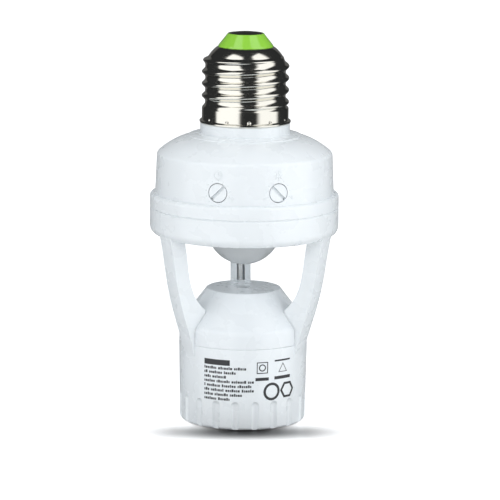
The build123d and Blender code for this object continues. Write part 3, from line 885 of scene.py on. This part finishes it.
class CollarPrint:
    """Plain print on the collar: rows of small blocks at the left, simple signs at the right."""

    def __init__(self, marks: SurfaceMarks, size: PrintSize) -> None:
        """Keeps the mark maker and the sizes."""
        self.marks = marks
        self.size = size

    def lines(self) -> list[list[Pair]]:
        """Heading bar and rows of small blocks, whose widths and gaps follow simple counts.

        Returns:
            The outlines.
        """
        s = self.size
        middle = s.left_edge + s.heading_width / 2
        lines = self.marks.bar(middle, s.heading_z, s.heading_width, s.heading_height)
        for row, width in enumerate(s.row_widths):
            x = s.left_edge
            level = s.first_row_z - row * s.row_pitch
            count = 0
            while x < s.left_edge + width:
                stroke = s.stroke + s.stroke_step * ((count * 5 + row * 3) % 3)
                tall = s.low_block if (count * 7 + row) % 4 else s.tall_block
                lines += self.marks.bar(x + stroke / 2, level + (tall - s.low_block) / 2, stroke, tall)
                count += 1
                gap = s.wide_gap if (count * 3 + row) % 7 == 0 else s.narrow_gap
                x += stroke + gap
        return lines

    def signs(self) -> list[list[Pair]]:
        """Square, triangle, ring and hexagon, with bars between them.

        Returns:
            The outlines.
        """
        ring, bar = self.marks.ring, self.marks.bar
        square = ring(x=-5.0, z=5.2, radius=2.5, line=0.36, sides=4, turn=math.pi / 4)
        square += ring(x=-5.0, z=5.2, radius=1.1, line=0.32, sides=20)
        square += bar(x=-5.0, z=1.7, width=4.2, height=0.95)
        triangle = bar(x=1.9, z=7.1, width=5.8, height=0.5)
        triangle += ring(x=2.0, z=4.4, radius=1.9, line=0.36, sides=3, turn=math.pi / 2)
        triangle += bar(x=2.0, z=1.8, width=6.0, height=0.95)
        large_ring = ring(x=-1.8, z=-2.3, radius=2.75, line=0.78, sides=28)
        hexagon = ring(x=3.9, z=-2.3, radius=2.75, line=0.78, sides=6)
        return square + triangle + large_ring + hexagon

    def make(self) -> None:
        """Puts both blocks on the collar."""
        s = self.size
        lines = self.marks.make(
            "print_lines", self.lines(), (s.lines_azimuth_deg, s.level), collar_radius,
            s.lift, "print_grey",
        )
        signs = self.marks.make(
            "print_signs", self.signs(), (s.signs_azimuth_deg, s.level), collar_radius,
            s.lift, "print_grey",
        )


class KnobMarks:
    """Raised clock and sun signs above the knobs, with minus and plus beside each."""

    def __init__(self, marks: SurfaceMarks, size: KnobMarkSize) -> None:
        """Keeps the mark maker and the sizes."""
        self.marks = marks
        self.size = size

    def clock(self) -> list[list[Pair]]:
        """Clock face with two hands.

        Returns:
            The outlines.
        """
        s = self.size
        face = self.marks.ring(0, 0, s.clock_r, s.clock_line, 28)
        long_hand = self.marks.bar(x=0.0, z=0.42, width=s.hand, height=0.9)
        return face + long_hand + self.marks.bar(x=0.34, z=0.0, width=0.75, height=s.hand)

    def sun(self) -> list[list[Pair]]:
        """Ring with short rays.

        Returns:
            The outlines.
        """
        s = self.size
        outlines = self.marks.ring(0, 0, s.sun_r, s.sun_line, 20)
        near, far, w = s.ray_start, s.ray_end, s.ray_half_width
        for i in range(s.rays):
            a = TAU * i / s.rays
            c, d = math.cos(a), math.sin(a)
            outlines.append([
                (near * c - w * d, near * d + w * c),
                (near * c + w * d, near * d - w * c),
                (far * c + w * d, far * d - w * c),
                (far * c - w * d, far * d + w * c),
            ])
        return outlines

    def make(self) -> None:
        """Puts a sign, a minus and a plus beside each knob."""
        s = self.size
        bar = self.marks.bar
        knobs = (("time_marks", -s.azimuth_deg, self.clock()), ("lux_marks", s.azimuth_deg, self.sun()))
        for name, azimuth, sign in knobs:
            outlines = [[(x, z + s.sign_z) for x, z in shape] for shape in sign]
            outlines += bar(-s.side_x, s.side_z, s.side_length, s.side_line)
            outlines += bar(s.side_x, s.side_z, s.side_length, s.side_line)
            outlines += bar(s.side_x, s.side_z, s.side_line, s.side_length)
            made = self.marks.make(name, outlines, (azimuth, s.level), dome_radius, s.lift, "white_case")


class TickRing:
    """Dots laid round a knob by Geometry Nodes, then frozen into a plain mesh."""

    def __init__(self, materials: MaterialMaker, size: KnobMarkSize) -> None:
        """Keeps the materials and the sizes, and makes the tree."""
        self.materials = materials
        self.size = size
        self.keys: dict[str, str] = {}
        self.tree = self._tree()

    def _tree(self) -> bpy.types.NodeTree:
        """Tree: an arc of points, a small ball on each, one material.

        Returns:
            The tree, whose inputs' identifiers are kept by name.
        """
        tree = bpy.data.node_groups.new("tick_arc", "GeometryNodeTree")
        tree.interface.new_socket("Geometry", in_out="OUTPUT", socket_type="NodeSocketGeometry")
        inputs = (("Radius", "Float"), ("Dot", "Float"), ("Count", "Int"), ("Material", "Material"))
        for name, kind in inputs:
            made = tree.interface.new_socket(name, in_out="INPUT", socket_type="NodeSocket" + kind)
            self.keys[name] = made.identifier
        given = add_node(tree, "NodeGroupInput")
        out = add_node(tree, "NodeGroupOutput")
        arc = add_node(tree, "GeometryNodeCurveArc", {
            "Start Angle": math.radians(self.size.tick_start_deg),
            "Sweep Angle": math.radians(self.size.tick_sweep_deg),
        })
        ball = add_node(tree, "GeometryNodeMeshIcoSphere", {"Subdivisions": 2})
        spread = add_node(tree, "GeometryNodeInstanceOnPoints")
        solid = add_node(tree, "GeometryNodeRealizeInstances")
        paint = add_node(tree, "GeometryNodeSetMaterial")
        links = tree.links
        links.new(given.outputs["Count"], arc.inputs["Resolution"])
        links.new(given.outputs["Radius"], arc.inputs["Radius"])
        links.new(given.outputs["Dot"], ball.inputs["Radius"])
        links.new(arc.outputs["Curve"], spread.inputs["Points"])
        links.new(ball.outputs["Mesh"], spread.inputs["Instance"])
        links.new(spread.outputs["Instances"], solid.inputs["Geometry"])
        links.new(solid.outputs["Geometry"], paint.inputs["Geometry"])
        links.new(given.outputs["Material"], paint.inputs["Material"])
        links.new(paint.outputs["Geometry"], out.inputs["Geometry"])
        return tree

    def make(self, name: str, azimuth_deg: float) -> bpy.types.Object:
        """Arc of dots round a knob, wrapped on to the wall.

        Args:
            name: object name.
            azimuth_deg: where the knob is, from the front.

        Returns:
            The new object.
        """
        s = self.size
        seed = add_object(name + "_seed", bpy.data.meshes.new(name + "_seed"))
        modifier = seed.modifiers.new("ticks", "NODES")
        modifier.node_group = self.tree
        modifier[self.keys["Radius"]] = s.tick_arc_r * MM
        modifier[self.keys["Dot"]] = s.tick_r * MM
        modifier[self.keys["Count"]] = s.ticks
        modifier[self.keys["Material"]] = self.materials.get("white_case")
        graph = bpy.context.evaluated_depsgraph_get()
        mesh = bpy.data.meshes.new_from_object(seed.evaluated_get(graph), depsgraph=graph)
        bpy.data.objects.remove(seed)
        for vertex in mesh.vertices:
            x, z, out = vertex.co.x / MM, vertex.co.y / MM, vertex.co.z / MM
            wall = dome_radius(s.level + z)
            vertex.co = on_cylinder(wall + out, azimuth_deg + math.degrees(x / wall), s.level + z)
        shade(mesh, ROUND_SMOOTH_DEG)
        made = add_object(name, mesh)
        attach(made, "housing")
        return made


class Studio:
    """Camera, lights, floor and world of the photograph."""

    DISTANCE = 0.95
    HEIGHT = 0.2298
    PITCH_DEG = 10.0
    TURN_DEG = 2.5
    ROLL_DEG = 0.55
    SENSOR_MM = 36.0
    FOCAL_PX = 3179.0
    FRAME_PX = 500.0
    AXIS_PX = 244.2
    HORIZON_PX = 216.0
    AMBIENT_COLOR = (0.93, 0.965, 1.0, 1)
    AMBIENT_STRENGTH = 0.70
    MIRRORED_COLOR = (0.9, 0.95, 1.0, 1)
    MIRRORED_STRENGTH = 0.03
    FLOOR_CORNERS = ((-4, -3, 0), (4, -3, 0), (4, 5, 0), (-4, 5, 0))
    FLOOR_DROP = 0.0002
    FLOOR_ROUGHNESS = 0.35
    FLOOR_WHITE = 0.93
    FLOOR_GLOW = 0.62
    # Painted shadow on the floor: a dark ellipse centred a little in front of the object's foot.
    PAINTED_SHADOW_SHIFT = (0.0, 1.22, 0.0)
    PAINTED_SHADOW_SCALE = (22.5, 61.0, 1.0)
    PAINTED_SHADOW_CORE = 0.05
    PAINTED_SHADOW_DARKEST = 0.01
    SAMPLES = 256
    BOUNCES = 10
    RENDER_PX = 1024

    def camera(self) -> None:
        """Camera fitted to the photograph."""
        data = bpy.data.cameras.new("camera")
        camera = add_object("camera", data)
        bpy.context.scene.camera = camera
        data.sensor_width = self.SENSOR_MM
        data.lens = self.FOCAL_PX / self.FRAME_PX * data.sensor_width
        data.shift_x = (self.FRAME_PX / 2 - self.AXIS_PX) / self.FRAME_PX
        data.shift_y = (self.HORIZON_PX - self.FRAME_PX / 2) / self.FRAME_PX
        data.clip_start = 0.01
        data.clip_end = 20.0
        turn = math.radians(self.TURN_DEG)
        place = Vector((-math.sin(turn) * self.DISTANCE, -math.cos(turn) * self.DISTANCE, self.HEIGHT))
        rotation = (
            Matrix.Rotation(-turn, 4, "Z")
            @ Matrix.Rotation(math.radians(90 - self.PITCH_DEG), 4, "X")
            @ Matrix.Rotation(math.radians(self.ROLL_DEG), 4, "Z")
        )
        camera.matrix_world = Matrix.Translation(place) @ rotation

    @staticmethod
    def soft_box(box: SoftBox) -> None:
        """One rectangular light.

        Args:
            box: its place, size and power.
        """
        data = bpy.data.lights.new(box.name, "AREA")
        data.shape = "RECTANGLE"
        data.size, data.size_y = box.size
        data.energy = box.power
        data.color = box.color
        lamp = add_object(box.name, data)
        lamp.visible_glossy = False
        lamp.location = Vector(box.place)
        lamp.rotation_euler = (Vector(box.aim) - Vector(box.place)).to_track_quat("-Z", "Y").to_euler()

    @staticmethod
    def card_material(card: Card) -> bpy.types.Material:
        """Glow that fades out near the card's edges.

        Args:
            card: the card's size, strength and fades.

        Returns:
            The material.
        """
        width, height = card.size
        material = bpy.data.materials.new(card.name)
        material.use_nodes = True
        tree = material.node_tree
        tree.nodes.clear()
        where = add_node(tree, "ShaderNodeTexCoord")
        parts = add_node(tree, "ShaderNodeSeparateXYZ")
        tree.links.new(where.outputs["Object"], parts.inputs["Vector"])
        soft = add_math(tree, "MULTIPLY")
        sides = (("X", width / 2, card.side_fade), ("Z", height / 2, card.end_fade))
        for slot, (axis, half, edge) in enumerate(sides):
            away = add_math(tree, "ABSOLUTE")
            fade = add_node(tree, "ShaderNodeMapRange", {
                "From Min": half - edge, "From Max": half, "To Min": 1.0, "To Max": 0.0,
            })
            fade.interpolation_type = "SMOOTHSTEP"
            tree.links.new(parts.outputs[axis], away.inputs[0])
            tree.links.new(away.outputs["Value"], fade.inputs["Value"])
            tree.links.new(fade.outputs["Result"], soft.inputs[slot])
        power = add_math(tree, "MULTIPLY", card.strength)
        glow = add_node(tree, "ShaderNodeEmission")
        out = add_node(tree, "ShaderNodeOutputMaterial")
        tree.links.new(soft.outputs["Value"], power.inputs[0])
        tree.links.new(power.outputs["Value"], glow.inputs["Strength"])
        tree.links.new(glow.outputs["Emission"], out.inputs["Surface"])
        return material

    def card(self, card: Card) -> None:
        """One card, facing the object.

        Args:
            card: its place, size and glow.
        """
        width, height = card.size
        mesh = bpy.data.meshes.new(card.name)
        corners = [(-1, 0, -1), (1, 0, -1), (1, 0, 1), (-1, 0, 1)]
        mesh.from_pydata([(x * width / 2, y, z * height / 2) for x, y, z in corners], [], [(0, 1, 2, 3)])
        mesh.materials.append(self.card_material(card))
        made = add_object(card.name, mesh)
        turn = math.radians(card.azimuth_deg)
        place = Vector((math.sin(turn) * card.distance, -math.cos(turn) * card.distance, card.level))
        made.matrix_world = Matrix.Translation(place) @ Matrix.Rotation(turn, 4, "Z")
        made.visible_camera = False
        made.visible_diffuse = False
        made.visible_shadow = False
        made.visible_transmission = False
        made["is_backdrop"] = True

    def lights(self) -> None:
        """Soft boxes for the light and cards for the reflections."""
        for box in SOFT_BOXES:
            self.soft_box(box)
        for card in CARDS:
            self.card(card)

    def world(self) -> None:
        """White behind the object for the camera, soft grey for everything else."""
        world = bpy.data.worlds.new("world")
        bpy.context.scene.world = world
        world.use_nodes = True
        tree = world.node_tree
        tree.nodes.clear()
        path = add_node(tree, "ShaderNodeLightPath")
        seen = add_node(tree, "ShaderNodeBackground", {"Color": (1, 1, 1, 1)})
        lit = add_node(tree, "ShaderNodeBackground", {
            "Color": self.AMBIENT_COLOR, "Strength": self.AMBIENT_STRENGTH,
        })
        mirrored = add_node(tree, "ShaderNodeBackground", {
            "Color": self.MIRRORED_COLOR, "Strength": self.MIRRORED_STRENGTH,
        })
        split = add_node(tree, "ShaderNodeMixShader")
        mix = add_node(tree, "ShaderNodeMixShader")
        out = add_node(tree, "ShaderNodeOutputWorld")
        tree.links.new(path.outputs["Is Glossy Ray"], split.inputs["Fac"])
        tree.links.new(lit.outputs["Background"], split.inputs[1])
        tree.links.new(mirrored.outputs["Background"], split.inputs[2])
        tree.links.new(path.outputs["Is Camera Ray"], mix.inputs["Fac"])
        tree.links.new(split.outputs["Shader"], mix.inputs[1])
        tree.links.new(seen.outputs["Background"], mix.inputs[2])
        tree.links.new(mix.outputs["Shader"], out.inputs["Surface"])

    def floor_material(self) -> bpy.types.Material:
        """White that glows for the camera, with a painted shadow: a dark ellipse under the object that
        darkens the floor's colour and glow.

        Returns:
            The material.
        """
        material = bpy.data.materials.new("floor")
        material.use_nodes = True
        tree = material.node_tree
        shader = tree.nodes["Principled BSDF"]
        shader.inputs["Roughness"].default_value = self.FLOOR_ROUGHNESS
        shader.inputs["Emission Color"].default_value = (1, 1, 1, 1)
        where = add_node(tree, "ShaderNodeTexCoord")
        squeeze = add_node(tree, "ShaderNodeMapping", {
            "Location": self.PAINTED_SHADOW_SHIFT, "Scale": self.PAINTED_SHADOW_SCALE,
        })
        reach = add_node(tree, "ShaderNodeVectorMath")
        reach.operation = "LENGTH"
        # Painted shadow: darkens the floor's colour and its glow in an ellipse under the object.
        painted_shadow = add_node(tree, "ShaderNodeMapRange", {
            "From Min": self.PAINTED_SHADOW_CORE, "From Max": 1.0, "To Min": self.PAINTED_SHADOW_DARKEST, "To Max": 1.0,
        })
        painted_shadow.interpolation_type = "SMOOTHERSTEP"
        tint = add_math(tree, "MULTIPLY", self.FLOOR_WHITE)
        path = add_node(tree, "ShaderNodeLightPath")
        glow = add_math(tree, "MULTIPLY")
        fade = add_math(tree, "MULTIPLY", self.FLOOR_GLOW)
        tree.links.new(where.outputs["Object"], squeeze.inputs["Vector"])
        tree.links.new(squeeze.outputs["Vector"], reach.inputs[0])
        tree.links.new(reach.outputs["Value"], painted_shadow.inputs["Value"])
        tree.links.new(painted_shadow.outputs["Result"], tint.inputs[0])
        tree.links.new(tint.outputs["Value"], shader.inputs["Base Color"])
        tree.links.new(path.outputs["Is Camera Ray"], fade.inputs[0])
        tree.links.new(fade.outputs["Value"], glow.inputs[0])
        tree.links.new(painted_shadow.outputs["Result"], glow.inputs[1])
        tree.links.new(glow.outputs["Value"], shader.inputs["Emission Strength"])
        return material

    def floor(self) -> None:
        """Floor just under the object, out of the mirrors' sight."""
        mesh = bpy.data.meshes.new("floor")
        mesh.from_pydata(list(self.FLOOR_CORNERS), [], [(0, 1, 2, 3)])
        mesh.materials.append(self.floor_material())
        floor = add_object("floor", mesh)
        floor.location.z = -self.FLOOR_DROP
        floor.visible_glossy = False
        floor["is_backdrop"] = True

    def settings(self) -> None:
        """Render settings."""
        scene = bpy.context.scene
        scene.render.engine = "CYCLES"
        scene.cycles.samples = self.SAMPLES
        scene.cycles.use_denoising = True
        scene.cycles.max_bounces = self.BOUNCES
        scene.render.resolution_x = self.RENDER_PX
        scene.render.resolution_y = self.RENDER_PX
        scene.view_settings.view_transform = "Standard"
        scene.view_settings.look = "None"
        scene.view_settings.exposure = 0.0

    def build(self) -> None:
        """Everything round the object."""
        self.camera()
        self.lights()
        self.world()
        self.floor()
        self.settings()


class LampHolder:
    """Dresses the CAD frame and adds the fine pieces."""

    def __init__(self, frame: dict) -> None:
        """Keeps the loaded frame."""
        self.frame = frame
        self.materials = MaterialMaker(FINISHES)
        self.builder = MeshBuilder(self.materials)

    def dress(self) -> None:
        """Gives every CAD node the finish of its slot and smooth shading."""
        slots = {part["node"]: part["material_slot"] for part in self.frame["record"]["subparts"]}
        for name, node in self.frame["nodes"].items():
            node.data.materials.clear()
            node.data.materials.append(self.materials.get(slots[name]))
            shade(node.data, FLAT_SMOOTH_DEG)

    def build(self) -> None:
        """All of the object's looks."""
        self.dress()
        cap = ScrewCap(self.builder, CapSize())
        cap.make_cap()
        cap.make_neck_lip()
        cap.make_socket()
        marks = SurfaceMarks(self.builder)
        CollarPrint(marks, PrintSize()).make()
        knob_marks = KnobMarkSize()
        KnobMarks(marks, knob_marks).make()
        ticks = TickRing(self.materials, knob_marks)
        ticks.make("time_ticks", -knob_marks.azimuth_deg)
        ticks.make("lux_ticks", knob_marks.azimuth_deg)


def save_sizes() -> None:
    """Updates the view layer; no sizes are written.
    """
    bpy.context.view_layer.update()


def main() -> LampHolder:
    """Builds the whole scene.

    Returns:
        The dressed lamp holder.
    """
    logging.basicConfig(level=logging.INFO)
    for leftover in list(bpy.data.objects):
        bpy.data.objects.remove(leftover)
    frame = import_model()
    holder = LampHolder(frame)
    holder.build()
    Studio().build()
    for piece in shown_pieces():
        LOG.info("piece: %s", piece.name)
    save_sizes()
    return holder


if __name__ == "__main__":
    main()
